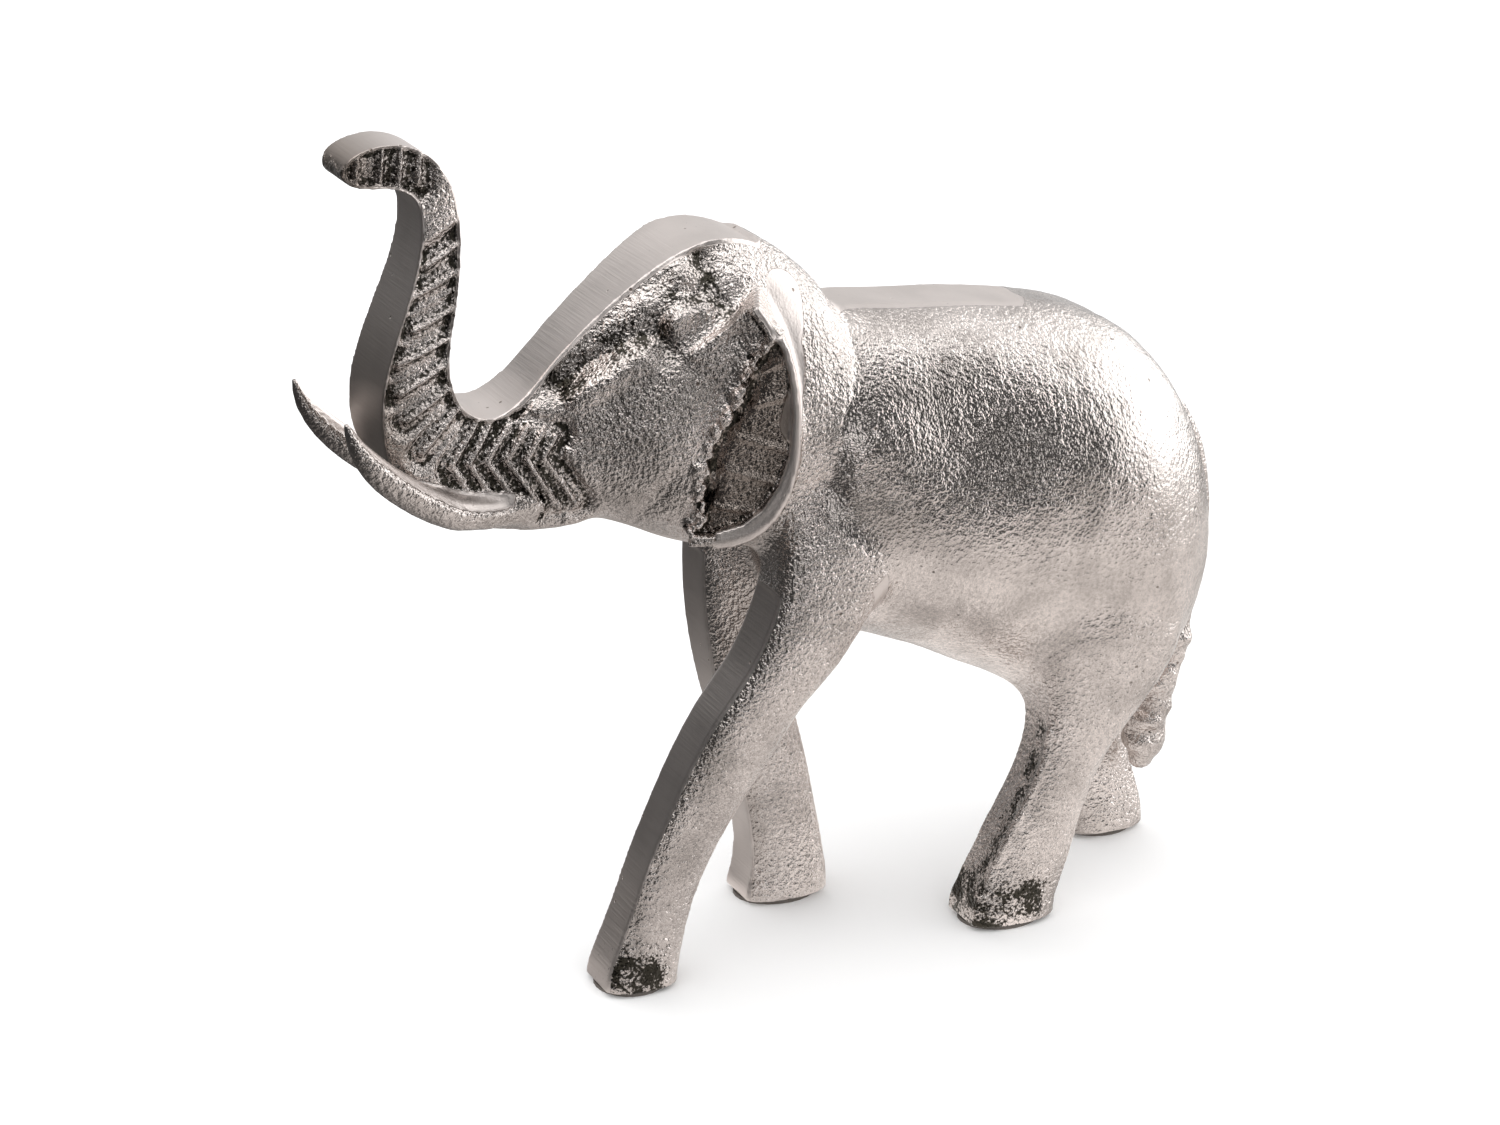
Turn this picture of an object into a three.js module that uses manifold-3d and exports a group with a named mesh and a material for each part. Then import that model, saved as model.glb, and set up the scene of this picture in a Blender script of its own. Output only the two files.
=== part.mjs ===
// An elephant figure with its trunk raised, cast in metal as separate castings that are
// welded together and ground flush. Millimetres, +Z up. The elephant faces -Y, and its
// left flank is on +X. The origin is the centre of the bounding box's base.
import * as THREE from "three";
import { mergeVertices } from "three/addons/utils/BufferGeometryUtils.js";
import Module from "manifold-3d";

const wasm = await Module();
wasm.setup();

// ---- driving dimensions ----
const WELD_GAP = 0.3; // between neighbouring castings
const WALL = 5; // wall of the hollow torso and head
const PAD_THICKNESS = 1; // felt pad under each foot
const PAD_INSET = 1.6; // from the sole's edge to the pad's edge
const SOLE_Z = PAD_THICKNESS + WELD_GAP; // the soles stand on the pads

const LATERAL = new THREE.Vector3(1, 0, 0);
const REARWARD = new THREE.Vector3(0, 1, 0);
const DOWN = new THREE.Vector3(0, 0, -1);
const SIDES = ["left", "right"];
const sign = (side) => (side === "left" ? 1 : -1);

// ---- materials ----
const metal = (name, color, roughness) =>
  new THREE.MeshStandardMaterial({ name, color, roughness, metalness: 1 });
const castMetal = metal("cast_metal", 0xcfc6c0, 0.42);
const felt = new THREE.MeshStandardMaterial({
  name: "felt",
  color: 0x2b2826,
  roughness: 0.95,
  metalness: 0,
});

// ---- solids and booleans ----
function solidOf(geometry) {
  geometry.deleteAttribute("normal");
  geometry.deleteAttribute("uv");
  const merged = mergeVertices(geometry, 1e-4);
  return new wasm.Manifold(
    new wasm.Mesh({
      numProp: 3,
      vertProperties: merged.attributes.position.array,
      triVerts: new Uint32Array(merged.index.array),
    }),
  );
}

function geometryOf(solid) {
  const mesh = solid.getMesh();
  const geometry = new THREE.BufferGeometry();
  geometry.setAttribute("position", new THREE.BufferAttribute(mesh.vertProperties, 3));
  geometry.setIndex(new THREE.BufferAttribute(mesh.triVerts, 1));
  return geometry;
}

function boxBetween(low, high) {
  const size = high.map((value, i) => value - low[i]);
  const middle = high.map((value, i) => (value + low[i]) / 2);
  return solidOf(new THREE.BoxGeometry(...size).translate(...middle));
}

// A boolean can leave slivers beside the casting itself.
const largestPiece = (solid) =>
  solid.decompose().reduce((a, b) => (a.volume() > b.volume() ? a : b));

const FAR = 400; // beyond the figure on every side
const halfSpace = (side) =>
  side === "left"
    ? boxBetween([WELD_GAP / 2, -FAR, -FAR], [FAR, FAR, FAR])
    : boxBetween([-FAR, -FAR, -FAR], [-WELD_GAP / 2, FAR, FAR]);
const aboveSoles = boxBetween([-FAR, -FAR, SOLE_Z], [FAR, FAR, FAR]);

// ---- lofts ----
// A smooth run through rows of [x, y, z, half width, half depth], by distance along it.
function runThrough(rows) {
  const at = [0];
  for (let i = 1; i < rows.length; i++) {
    const step = [0, 1, 2].map((k) => rows[i][k] - rows[i - 1][k]);
    at.push(at[i - 1] + Math.hypot(...step));
  }
  const run = new THREE.CubicInterpolant(at, rows.flat(), 5, new Float64Array(5));
  const length = at[at.length - 1];
  return { length, row: (s) => [...run.evaluate(THREE.MathUtils.clamp(s, 0, length))] };
}

const SMALLEST_RING = 0.12; // share of the full section at a rounded end
function endFactor(distance, rounding) {
  if (distance >= rounding) return 1;
  return Math.max(SMALLEST_RING, Math.sqrt(1 - (1 - distance / rounding) ** 2));
}

// A cylinder whose rings are moved onto the rows' sections. Each section is a superellipse
// whose width runs across the figure. It faces along the run, or along facing where that is
// given. taper narrows the section on one side, and flat is the share of the half depth at
// which both sides are ground off. grow moves the whole surface out.
function loft(rows, options) {
  const {
    sides = 24,
    rings = 20,
    power = 2.3,
    taper = 0,
    flat = 1,
    facing = null,
    roundStart = 0,
    roundEnd = 0,
    crowding = 0,
    grow = 0,
  } = options;
  const run = runThrough(rows);
  const geometry = new THREE.CylinderGeometry(1, 1, 1, sides, rings);
  geometry.rotateY(Math.PI / sides); // so that no edge runs along the middle plane
  const position = geometry.attributes.position;
  const point = new THREE.Vector3();
  for (let i = 0; i < position.count; i++) {
    point.fromBufferAttribute(position, i);
    const u = point.y + 0.5;
    const s = run.length * (u - (crowding * Math.sin(2 * Math.PI * u)) / (2 * Math.PI));
    const [x, y, z, halfWidth, halfDepth] = run.row(s);
    const ahead = new THREE.Vector3(...run.row(s + 0.5));
    const along = ahead.sub(new THREE.Vector3(...run.row(s - 0.5))).normalize();
    if (facing) along.copy(facing);
    const depthAxis = LATERAL.clone().cross(along).normalize();
    const widthAxis = along.clone().cross(depthAxis);
    const radius = Math.hypot(point.x, point.z);
    const end = endFactor(s, roundStart) * endFactor(run.length - s, roundEnd);
    let wide = 0;
    let deep = 0;
    if (radius > 0.5) {
      const sx = point.x / radius;
      const sz = point.z / radius;
      const reach = (Math.abs(sx) ** power + Math.abs(sz) ** power) ** (-1 / power);
      wide = sx * reach * (1 - taper * sz * reach);
      deep = THREE.MathUtils.clamp(sz * reach, -flat, flat);
    }
    const centre = new THREE.Vector3(x, y, z);
    centre.addScaledVector(widthAxis, wide * (halfWidth * end + grow));
    centre.addScaledVector(depthAxis, deep * (halfDepth * end + grow));
    if (grow && s === 0) centre.addScaledVector(along, -grow);
    if (grow && s === run.length) centre.addScaledVector(along, grow);
    position.setXYZ(i, centre.x, centre.y, centre.z);
  }
  return solidOf(geometry);
}

// Rows along the middle plane, given as [y, top, bottom, half width].
const midRows = (rows) =>
  rows.map(([y, top, bottom, half]) => [0, y, (top + bottom) / 2, half, (top - bottom) / 2]);

// ---- torso ----
const TORSO = midRows([
  [50, 191, 106, 36],
  [70, 197, 97, 41],
  [95, 195, 88, 46],
  [125, 192, 73, 48],
  [150, 187, 67, 48],
  [165, 181, 65, 48],
  [178, 177, 59, 46],
  [200, 172, 58, 44],
]);
const torso = (grow, sides = 32, rings = 24) =>
  loft(TORSO, {
    sides,
    rings,
    power: 2.15,
    taper: 0.06,
    facing: REARWARD,
    roundStart: 14,
    roundEnd: 44,
    crowding: 0.7,
    grow,
  });

// ---- head ----
const HEAD = midRows([
  [-30, 178, 144, 14],
  [-18, 191.5, 143, 18],
  [-6, 203, 141.5, 22],
  [5, 212, 137.5, 27],
  [14, 218.5, 133, 30.5],
  [26, 224.5, 129, 33],
  [40, 224.5, 127, 34],
  [54, 218, 128, 35],
  [66, 207.5, 134, 34],
  [78, 196, 142, 31],
]);
const head = (grow, sides = 28, rings = 20) =>
  loft(HEAD, {
    sides,
    rings,
    power: 2.3,
    taper: 0.2,
    flat: 0.97,
    facing: REARWARD,
    roundStart: 5,
    roundEnd: 12,
    grow,
  });

// ---- trunk: from inside the head, forward, up and forward again ----
const TRUNK = [
  [0, -12, 162, 17, 18.5],
  [0, -28, 161, 15.5, 16.5],
  [0, -42, 164, 15, 15.5],
  [0, -53, 172.5, 15, 14.2],
  [0, -56.6, 186, 14.6, 11.4],
  [0, -55, 199, 14, 9],
  [0, -51.4, 211, 13, 7.8],
  [0, -48.3, 223, 11.8, 6.8],
  [0, -47.1, 235, 10.5, 6.1],
  [0, -49.5, 246, 9.5, 6],
  [0, -58, 251.3, 9.4, 6.8],
  [0, -68, 251.3, 9.4, 6],
  [0, -77, 249.5, 7.5, 4.2],
];
const trunk = (grow) =>
  loft(TRUNK, { sides: 28, rings: 34, power: 4, flat: 0.97, roundEnd: 7, grow });

// ---- tusks ----
const tuskRows = (side) =>
  [
    [8, -18, 151.5, 4, 4.5],
    [11.5, -27, 151, 5, 5],
    [14.3, -36, 151.5, 5.5, 5],
    [16.5, -47, 153.5, 5.5, 5.2],
    [18.5, -56, 158, 5, 5.2],
    [20, -64.5, 164, 4.6, 5],
    [21.3, -72, 171, 4, 4.4],
    [22, -77.5, 178.5, 2.8, 3],
    [22, -80.5, 186.5, 0.9, 0.9],
  ].map(([x, ...rest]) => [sign(side) * x, ...rest]);
const tusk = (side) => loft(tuskRows(side), { sides: 12, rings: 18, power: 2.2 });

// ---- legs: level sections from inside the body down to the sole ----
const LEGS = {
  foreleg_left: [
    [21, 64, 150, 9, 17],
    [26.5, 62, 136, 12, 19],
    [29.5, 58.5, 120, 13, 19],
    [29, 48.5, 100, 13, 17.5],
    [27, 36.5, 84, 12.5, 16],
    [25.5, 28.5, 70, 11.5, 15.3],
    [24, 20.5, 55, 10.8, 13.4],
    [22.5, 13.5, 40, 10, 12],
    [21, 8.3, 25, 9.8, 11.4],
    [20, 4.5, 12, 10.7, 12.6],
    [19.5, 1.8, 2, 12.4, 13.8],
    [19.5, 1.5, 0, 12.7, 13.8],
  ],
  foreleg_right: [
    [-20, 64, 150, 9, 17],
    [-25, 62, 136, 12, 19],
    [-27, 60, 120, 13, 19],
    [-25, 56, 95, 13, 15],
    [-22.5, 57.5, 72, 12, 13.5],
    [-21, 62.5, 52, 11, 13.3],
    [-20, 68, 22, 10.5, 13.5],
    [-19.5, 69, 10, 11, 14.5],
    [-19.5, 67.5, 2, 12.4, 17],
    [-19.5, 67.5, 0, 12.7, 17],
  ],
  hindleg_left: [
    [22, 151, 124, 13, 23],
    [26, 151, 111, 14, 24],
    [28.2, 151, 97, 14.5, 24],
    [28.6, 151, 78, 14, 23],
    [28.5, 148, 66, 12.8, 18],
    [28, 141.5, 52, 11.5, 12.6],
    [27, 135, 37, 10.5, 13.1],
    [26, 128.5, 20, 10.5, 15.3],
    [25.5, 123, 5, 12.2, 16.4],
    [25.5, 122, 0, 12.9, 16.6],
  ],
  hindleg_right: [
    [-22, 158, 124, 13, 22],
    [-26, 160, 110, 14, 24.5],
    [-28.2, 163, 95, 14.5, 25.5],
    [-28, 166, 76, 14, 20],
    [-26, 170, 58, 12.5, 14.5],
    [-24, 175, 42, 11, 12.5],
    [-22.5, 179.5, 25, 10.5, 12.8],
    [-21.5, 182.5, 6, 12, 15],
    [-21.5, 182.5, 0, 12.8, 15.3],
  ],
};
const LEG_FLAT = 0.88; // front and back ground off at this share of the half depth
const leg = (name, grow = 0) =>
  loft(LEGS[name], { sides: 20, rings: 18, power: 2.8, flat: LEG_FLAT, facing: DOWN, grow });

// ---- ears: a flap with a raised rim, standing out and back from the cheek ----
const EAR = { x: 34, y: 22, z: 174, sweep: 65, thickness: 20, recess: 4 };
// u runs out along the ear from the cheek, and v up it.
const EAR_EDGE = { inner: -8, innerLow: -29, low: -37, out: 25, apex: [13, 35], innerHigh: 17 };
// The recess runs out on the cheek's side, so the rim is only on the other three.
const RECESS_EDGE = { inner: -16, innerLow: -32, low: -33, out: 23, apex: [11.5, 32], innerHigh: 32 };

function earOutline({ inner, innerLow, low, out, apex, innerHigh }) {
  const shape = new THREE.Shape();
  shape.moveTo(inner, innerLow);
  shape.lineTo(1, low);
  shape.bezierCurveTo(16, low, out, -24, out, -5);
  shape.bezierCurveTo(out, 10, apex[0] + 8, apex[1] - 9, ...apex);
  shape.lineTo(inner, innerHigh);
  shape.closePath();
  return shape;
}

// A slab of an outline, from front back towards the head.
function earSlab(side, edge, front, depth) {
  const settings = { depth, bevelEnabled: false, curveSegments: 8 };
  const geometry = new THREE.ExtrudeGeometry(earOutline(edge), settings);
  geometry.translate(0, 0, -depth - front);
  geometry.rotateX(Math.PI / 2);
  geometry.rotateZ(THREE.MathUtils.degToRad(EAR.sweep));
  geometry.translate(EAR.x, EAR.y, EAR.z);
  const slab = solidOf(geometry);
  return side === "left" ? slab : slab.mirror([1, 0, 0]);
}

const ear = (side) =>
  earSlab(side, EAR_EDGE, 0, EAR.thickness).subtract(
    earSlab(side, RECESS_EDGE, -1, EAR.recess + 1),
  );

// ---- tail ----
const TAIL = [
  [0, 190, 152, 3, 3],
  [0, 200, 135, 3, 3],
  [0, 204, 115, 3, 3],
  [0, 203, 95, 3, 3],
  [0, 199.5, 78, 3, 3],
  [-1, 195, 62, 3, 3],
  [-2, 192, 50, 3, 3.4],
  [-4, 190, 39, 4, 4.6],
  [-5, 189, 27, 3, 3.5],
];
const tail = () => loft(TAIL, { sides: 10, rings: 18, power: 2, roundStart: 4, roundEnd: 4 });

// ---- foot pads ----
function pad(name) {
  const [x, y, , halfWidth, halfDepth] = LEGS[name].at(-1);
  const geometry = new THREE.CylinderGeometry(1, 1, PAD_THICKNESS, 24);
  geometry.rotateX(Math.PI / 2);
  geometry.scale(halfWidth - PAD_INSET, halfDepth * LEG_FLAT - PAD_INSET, 1);
  geometry.translate(x, y, PAD_THICKNESS / 2);
  return solidOf(geometry);
}

// ---- the castings, each cut clear of the ones before it ----
const parts = new Map();
const grownTorso = torso(WELD_GAP);
const grownHead = head(WELD_GAP);
const torsoShell = torso(0).subtract(torso(-WALL, 20, 14));
const headShell = head(0).subtract(head(-WALL, 18, 12)).subtract(grownTorso);

for (const side of SIDES) {
  parts.set("torso_" + side, largestPiece(torsoShell.intersect(halfSpace(side))));
  parts.set("head_" + side, largestPiece(headShell.intersect(halfSpace(side))));
}
parts.set("trunk", largestPiece(trunk(0).subtract(grownHead)));
const grownTrunk = trunk(WELD_GAP);
const grownLegs = {};
for (const name of Object.keys(LEGS)) {
  const cut = leg(name).intersect(aboveSoles).subtract(grownTorso).subtract(grownHead);
  parts.set(name, largestPiece(cut));
  grownLegs[name] = leg(name, WELD_GAP);
}
for (const side of SIDES) {
  let flap = ear(side).subtract(grownHead).subtract(grownTorso);
  flap = flap.subtract(grownLegs["foreleg_" + side]);
  parts.set("ear_" + side, largestPiece(flap));
  const horn = tusk(side).subtract(grownHead).subtract(grownTrunk);
  parts.set("tusk_" + side, largestPiece(horn));
}
const tailCut = tail().subtract(grownTorso).subtract(grownLegs.hindleg_right);
parts.set("tail", largestPiece(tailCut));
for (const name of Object.keys(LEGS)) parts.set("pad_" + name, pad(name));

// ---- the figure ----
const figure = new THREE.Group();
figure.name = "elephant_figure";
for (const [name, solid] of parts) {
  const material = name.startsWith("pad_") ? felt : castMetal;
  const mesh = new THREE.Mesh(geometryOf(solid), material);
  mesh.name = name;
  figure.add(mesh);
}
const bounds = new THREE.Box3().setFromObject(figure);
const middle = bounds.getCenter(new THREE.Vector3());
figure.position.set(-middle.x, -middle.y, -bounds.min.z);

export default figure;
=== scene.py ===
"""A cast-metal elephant figurine: one skin sculpted over the CAD castings, then split into their pieces."""

import math

import bpy
import numpy as np
import openvdb
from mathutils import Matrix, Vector


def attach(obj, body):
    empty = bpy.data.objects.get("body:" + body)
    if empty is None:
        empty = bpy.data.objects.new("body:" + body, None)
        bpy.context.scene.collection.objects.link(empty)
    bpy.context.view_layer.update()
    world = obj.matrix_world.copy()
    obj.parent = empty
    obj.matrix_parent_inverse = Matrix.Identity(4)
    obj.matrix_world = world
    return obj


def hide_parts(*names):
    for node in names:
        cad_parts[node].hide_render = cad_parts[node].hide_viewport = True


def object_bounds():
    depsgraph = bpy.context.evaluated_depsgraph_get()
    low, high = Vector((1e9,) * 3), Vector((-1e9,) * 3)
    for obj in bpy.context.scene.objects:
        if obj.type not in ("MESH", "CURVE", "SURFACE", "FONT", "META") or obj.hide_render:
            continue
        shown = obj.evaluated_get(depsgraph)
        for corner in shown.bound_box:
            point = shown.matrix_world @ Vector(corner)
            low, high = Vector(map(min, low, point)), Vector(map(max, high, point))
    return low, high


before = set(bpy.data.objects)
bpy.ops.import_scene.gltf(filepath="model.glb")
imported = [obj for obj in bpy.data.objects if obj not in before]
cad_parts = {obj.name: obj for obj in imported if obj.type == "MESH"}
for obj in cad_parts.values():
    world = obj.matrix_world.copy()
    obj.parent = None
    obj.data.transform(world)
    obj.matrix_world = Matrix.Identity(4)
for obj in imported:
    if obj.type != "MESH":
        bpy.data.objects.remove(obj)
CAD_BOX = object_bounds()

# ---- sizes, in millimetres unless they say otherwise ----
MM = 0.001
VOXEL = 0.6
MARGIN = 6.0  # around the CAD box
REACH = 16.0  # how far from a casting its distance is known
LOW = np.array(CAD_BOX[0]) / MM - MARGIN
HIGH = np.array(CAD_BOX[1]) / MM + MARGIN
SHAPE = np.ceil((HIGH - LOW) / VOXEL).astype(int)

FORELEGS = ("foreleg_left", "foreleg_right")
HIND_LEGS = ("hindleg_left", "hindleg_right")
LEGS = FORELEGS + HIND_LEGS
PADS = tuple("pad_" + leg for leg in LEGS)
SIDES = ("left", "right")
SOLE_Z = 1.3  # the height of the soles, just above the pads
SOLE_EDGE = 2.0  # up to this height above the sole a leg keeps one outline, so that its edge stays sharp


# ---- distance fields ----
GROUND_ROUND = 1.5  # the fillet along a ground flat's edges


def casting_mesh(name):
    """A CAD casting's points in millimetres, and its triangles."""
    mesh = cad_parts[name].data
    mesh.calc_loop_triangles()
    points = np.empty(len(mesh.vertices) * 3, np.float32)
    corners = np.empty(len(mesh.loop_triangles) * 3, np.int32)
    mesh.vertices.foreach_get("co", points)
    mesh.loop_triangles.foreach_get("vertices", corners)
    return points.reshape(-1, 3) / MM, corners.reshape(-1, 3)


def softened(values, sigma):
    """values blurred by a Gaussian of sigma millimetres."""
    sigma = sigma / VOXEL
    radius = max(1, math.ceil(2.5 * sigma))
    weights = np.exp(-0.5 * (np.arange(-radius, radius + 1) / sigma) ** 2)
    weights = (weights / weights.sum()).astype(np.float32)
    for axis in range(values.ndim):
        pads = [(radius, radius) if a == axis else (0, 0) for a in range(values.ndim)]
        padded = np.pad(values, pads, mode="edge")
        values = np.zeros_like(values)
        for step, weight in enumerate(weights):
            window = [slice(None)] * values.ndim
            window[axis] = slice(step, step + values.shape[axis])
            values += weight * padded[tuple(window)]
    return values


def smoothstep(low, high, values):
    """0 where values are at low, 1 where they are at high, and a smooth step between."""
    t = np.clip((values - low) / (high - low), 0, 1)
    return t * t * (3 - 2 * t)


def joined(a, b, fillet):
    """The distance to two solids joined by a fillet."""
    overlap = np.maximum(fillet - np.abs(a - b), 0) / fillet
    return np.minimum(a, b) - overlap**2 * fillet / 4


def sample(values, places):
    """values at places, in voxels from its first one, by linear interpolation."""
    top = np.array(values.shape) - 1
    places = np.clip(places, 0, top - 1e-4)
    base = places.astype(int)
    share = places - base
    total = np.zeros(len(places))
    for corner in np.ndindex(*(2,) * values.ndim):
        weight = np.prod(np.where(corner, share, 1 - share), axis=1)
        total += weight * values[tuple((base + corner).T)]
    return total


class Field:
    """The signed distance to a casting, or to a pair of half shells, over the box around it.

    It is blurred by sigma. hollow fills the cavity between two half shells, around makes room for
    other castings in the box, and below the height down_from the casting keeps one outline.
    """

    def __init__(self, names, sigma, hollow=False, around=(), down_from=None):
        meshes = [casting_mesh(name) for name in names]
        starts = np.cumsum([0] + [len(points) for points, _ in meshes])
        points = (np.concatenate([points for points, _ in meshes]) - LOW) / VOXEL
        corners = np.concatenate([c + start for (_, c), start in zip(meshes, starts)])
        boxed = [points] + [(casting_mesh(name)[0] - LOW) / VOXEL for name in around]
        boxed = np.concatenate(boxed)
        reach = REACH / VOXEL
        first = np.clip(np.floor(boxed.min(0) - reach), 0, SHAPE).astype(int)
        last = np.clip(np.ceil(boxed.max(0) + reach), 0, SHAPE).astype(int)
        level_set = openvdb.FloatGrid.createLevelSetFromPolygons(
            points.astype(np.float32), triangles=corners.astype(np.uint32), halfWidth=reach
        )
        values = np.empty(last - first, np.float32)
        level_set.copyToArray(values, ijk=tuple(int(i) for i in first))
        values *= VOXEL
        if hollow:
            solid = values < 0
            from_low = np.logical_or.accumulate(solid, axis=0)
            from_high = np.logical_or.accumulate(solid[::-1], axis=0)[::-1]
            values = np.where(from_low & from_high, -np.abs(values), values)
        if down_from is not None:
            level = round((down_from - LOW[2]) / VOXEL) - first[2]
            values[:, :, :level] = values[:, :, level : level + 1]
        self.first = first
        self.window = tuple(slice(a, b) for a, b in zip(first, last))
        self.values = softened(values, sigma)
        self.profile = None
        axes = [(np.arange(a, b) * VOXEL + low) for a, b, low in zip(first, last, LOW)]
        self.x = axes[0][:, None, None]
        self.y = axes[1][None, :, None]
        self.z = axes[2][None, None, :]

    def at(self, points):
        """The distance at points, which are in millimetres."""
        places = (points - LOW) / VOXEL - self.first
        away = np.maximum(-places, places - np.array(self.values.shape) + 1).max(axis=1)
        return sample(self.values, places) + np.maximum(away, 0) * VOXEL

    def middle(self, top):
        """The casting's middle across the figure at each level up to top, and the same above it."""
        solid = self.values < 0
        count = solid.sum(axis=(0, 1))
        middle = (solid * self.x).sum(axis=(0, 1)) / np.maximum(count, 1)
        known = np.flatnonzero((count > 0) & (self.z[0, 0] < top))
        return np.interp(np.arange(len(count)), known, middle[known])[None, None, :]

    def join(self, other, fillet):
        """Adds another casting to this field, which has to reach round it."""
        low = other.first - self.first
        inner = tuple(slice(a, a + n) for a, n in zip(low, other.values.shape))
        self.values[inner] = joined(self.values[inner], other.values, fillet)

    def grind(self, half_width, inset, fade, middle=0.0, evening=1.5):
        """Grinds the casting to its own side profile, with a flat of half_width along the profile's edge.

        The profile is evened out by a blur and lies inset below the casting's own. The flat fades out
        where fade, in millimetres, grows.
        """
        profile = softened(self.values.min(axis=0), evening)[None] + inset
        bar = np.maximum(np.abs(self.x - middle) - half_width, profile) + fade
        self.values = np.maximum(joined(self.values, bar, GROUND_ROUND), profile - fade).astype(np.float32)
        self.profile = (profile - fade)[0]

    def ground_depth(self, points):
        """How deep points are below the ground profile, seen from the side."""
        places = ((points - LOW) / VOXEL - self.first)[:, 1:]
        away = np.maximum(-places, places - np.array(self.profile.shape) + 1).max(axis=1)
        return np.where(away > 0, REACH, -sample(self.profile, places))


FIELDS = {
    "torso": Field(("torso_left", "torso_right"), 3.2, hollow=True),
    "head": Field(("head_left", "head_right"), 2.4, hollow=True),
    "trunk": Field(("trunk",), 1.2),
    "tail": Field(("tail",), 0.8),
}
for leg in LEGS:
    FIELDS[leg] = Field((leg,), 1.4, down_from=SOLE_Z + SOLE_EDGE)
for side in SIDES:
    FIELDS["ear_" + side] = Field(("ear_" + side,), 0.6)
    FIELDS["tusk_" + side] = Field(("tusk_" + side,), 0.6)

# The head and the trunk are ground to one profile. The half width of its flat, by y and by z:
CROWN_Y = (-150, -143, -140, -136, -132, -122, -104, -97, -90, -82, -75, -60, -50, -38, -26, -16, -6)
CROWN_HALF = (0, 3, 6, 9, 14.5, 15, 14.5, 13, 11.5, 10.5, 10.3, 11.3, 12.8, 15, 14, 11, 7)
TRUNK_Z = (150, 158, 166, 172, 178, 190, 211, 235, 257)
TRUNK_HALF = (5.5, 8, 11.5, 13.5, 14.2, 13.6, 12.4, 10, 8.8)
TRUNK_ROOT_Y = -97  # where the trunk's flat takes over from the crown's
TRUNK_ROOT_LENGTH = 8  # how far that takes
TRUNK_FILLET = 12
CROWN_END_Y = -16  # behind it the crown's flat runs out into the neck
BACK_HALF = 6.5
BACK_Y = (2, 70)  # where the flat along the back begins and ends
BACK_Z = 150  # below it the back's flat runs out
RUN_OUT = 0.6  # how fast a flat fades out past its end
BACK_RUN_OUT = 0.3
FACE_INSET = 0.4  # how much is ground off
LEG_INSET = 0.3
MIDDLE_BELOW = 15  # how far below the end of its flat a leg's middle is last measured
LEG_FLATS = {  # half width, and the height where the flat runs out into the body
    "foreleg_left": (7, 120),
    "foreleg_right": (7, 115),
    "hindleg_left": (7.5, 78),
    "hindleg_right": (7.5, 78),
}

face = Field(("head_left", "head_right"), 2.4, hollow=True, around=("trunk",))
face.join(FIELDS["trunk"], TRUNK_FILLET)
over_trunk = smoothstep(TRUNK_ROOT_Y, TRUNK_ROOT_Y - TRUNK_ROOT_LENGTH, face.y)
half_width = np.interp(face.y, CROWN_Y, CROWN_HALF)
narrowed = np.minimum(half_width, np.interp(face.z, TRUNK_Z, TRUNK_HALF))
half_width = half_width + over_trunk * (narrowed - half_width)
face.grind(half_width, FACE_INSET, np.maximum(face.y - CROWN_END_Y, 0) * RUN_OUT, evening=2.6)

back = FIELDS["torso"]
past_ends = np.maximum(BACK_Y[0] - back.y, back.y - BACK_Y[1])
back.grind(BACK_HALF, FACE_INSET, np.maximum(past_ends, BACK_Z - back.z).clip(0) * BACK_RUN_OUT)
for leg, (half_width, top) in LEG_FLATS.items():
    field = FIELDS[leg]
    run_out = np.maximum(field.z - top, 0) * RUN_OUT
    field.grind(half_width, LEG_INSET, run_out, field.middle(top - MIDDLE_BELOW))

# The welds' fillets, which all stay below REACH.
FILLETS = {"torso": 5, "tail": 4}
FILLETS.update(dict.fromkeys(FORELEGS, 9))
FILLETS.update(dict.fromkeys(HIND_LEGS, 12))
FILLETS.update(dict.fromkeys(("ear_left", "ear_right", "tusk_left", "tusk_right"), 3))

skin = np.full(SHAPE, REACH, np.float32)
skin[face.window] = face.values
for name, fillet in FILLETS.items():
    window = FIELDS[name].window
    skin[window] = joined(skin[window], FIELDS[name].values, fillet)

# Each ear has its own plane: u runs out along it from the hinge, v up it, and w out of its front.
EAR_HINGE = np.array((34.0, -40.84, 174.0))
EAR_SWEEP = math.radians(65)
EAR_DEPTH = 4.0  # of the recess
PLATE_THICKNESS = 6.0  # of the metal filled in behind and round the recess
CHEEK_OVERLAP = 1.0  # how far the plate reaches in under the cheek
# The recess in the ear's front, from the cheek's torn edge out to the rim, by v.
CHEEK_V = (-32, -28, -19, -10, -1, 7, 15, 21, 26, 34)
CHEEK_U = (-5, -2, -2.5, -1, 3, 8.5, 11.5, 14.5, 20, 24)
RIM_V = (-32, -29.5, -25, -18, -9, 3, 14, 22, 30, 33)
RIM_U = (1, 9, 14.5, 19, 22, 23, 22, 20, 15.5, 13)
# The outline of the plate that fills the ear out round the recess, by v.
PLATE_V = (-36, -34.5, -32, -28, -20, -9, 3, 14, 22, 26)
PLATE_U = (-2, 6, 12, 17.5, 22.3, 24.8, 25.2, 24, 22, 20)


def ear_plane(x, y, z):
    """Places in the plane of the ear on their own side: u, v and w."""
    x = np.abs(x) - EAR_HINGE[0]
    y = y - EAR_HINGE[1]
    u = x * math.cos(EAR_SWEEP) + y * math.sin(EAR_SWEEP)
    w = x * math.sin(EAR_SWEEP) - y * math.cos(EAR_SWEEP)
    return u, z - EAR_HINGE[2], w


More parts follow.
